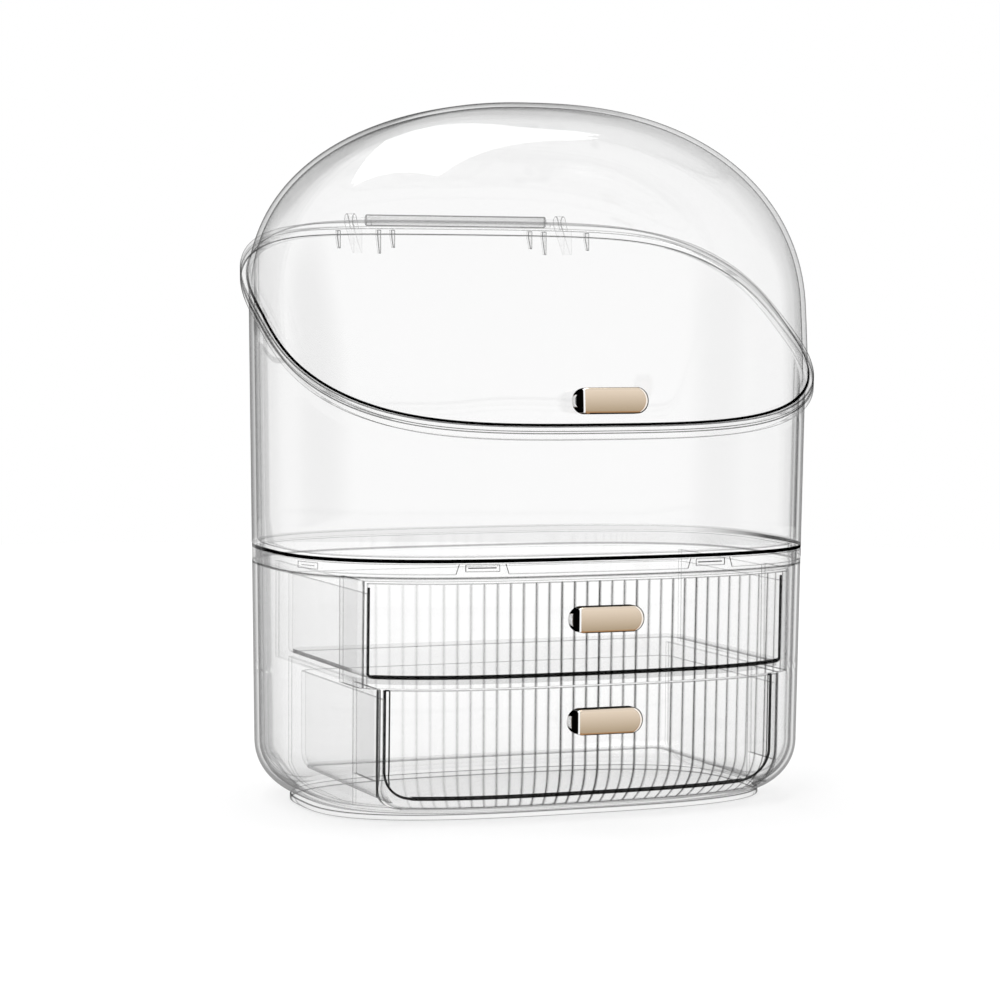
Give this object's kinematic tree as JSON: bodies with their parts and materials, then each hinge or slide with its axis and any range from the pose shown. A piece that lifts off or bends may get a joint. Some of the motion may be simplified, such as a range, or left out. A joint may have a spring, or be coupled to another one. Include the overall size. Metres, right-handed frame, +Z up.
{
  "type": "dustproof makeup organizer",
  "caption": "Clear countertop organizer: cabinet with fluted sliding drawers, slant-rimmed tray above and a domed lid hinged at the back.",
  "frame": {"origin": "centre of the base plate's underside, on the surface the organizer stands on", "axes": "+Z up, +X towards the organizer's left as it faces the user, front with the drawers towards -Y"},
  "size_m": [0.2862, 0.2131, 0.35],
  "materials": {
    "clear_plastic": "polished clear polystyrene",
    "champagne_plating": "satin champagne plating on ABS",
    "screw_steel": "bright zinc"
  },
  "bodies": {
    "cabinet": {"base_plate": "clear_plastic", "cabinet_shell": "clear_plastic", "drawer_frame": "clear_plastic", "vanity_tray": "clear_plastic"},
    "lid": {"dome_lid": "clear_plastic", "hinge_pins": "clear_plastic", "lid_handle": "champagne_plating", "lid_handle_screws": "screw_steel"},
    "upper_drawer_body": {"upper_drawer": "clear_plastic", "upper_drawer_handle": "champagne_plating", "upper_handle_screws": "screw_steel"},
    "lower_drawer_body": {"lower_drawer": "clear_plastic", "lower_drawer_handle": "champagne_plating", "lower_handle_screws": "screw_steel"}
  },
  "joints": [
    {"name": "lid_hinge", "type": "hinge", "parent": "cabinet", "child": "lid", "pos_m": [0, 0.1025, 0.292], "axis": [-1, 0, 0], "range_deg": [0, 100]},
    {"name": "upper_drawer_slide", "type": "slide", "parent": "cabinet", "child": "upper_drawer_body", "axis": [0, -1, 0], "range_m": [0, 0.11]},
    {"name": "lower_drawer_slide", "type": "slide", "parent": "cabinet", "child": "lower_drawer_body", "axis": [0, -1, 0], "range_m": [0, 0.11]}
  ]
}
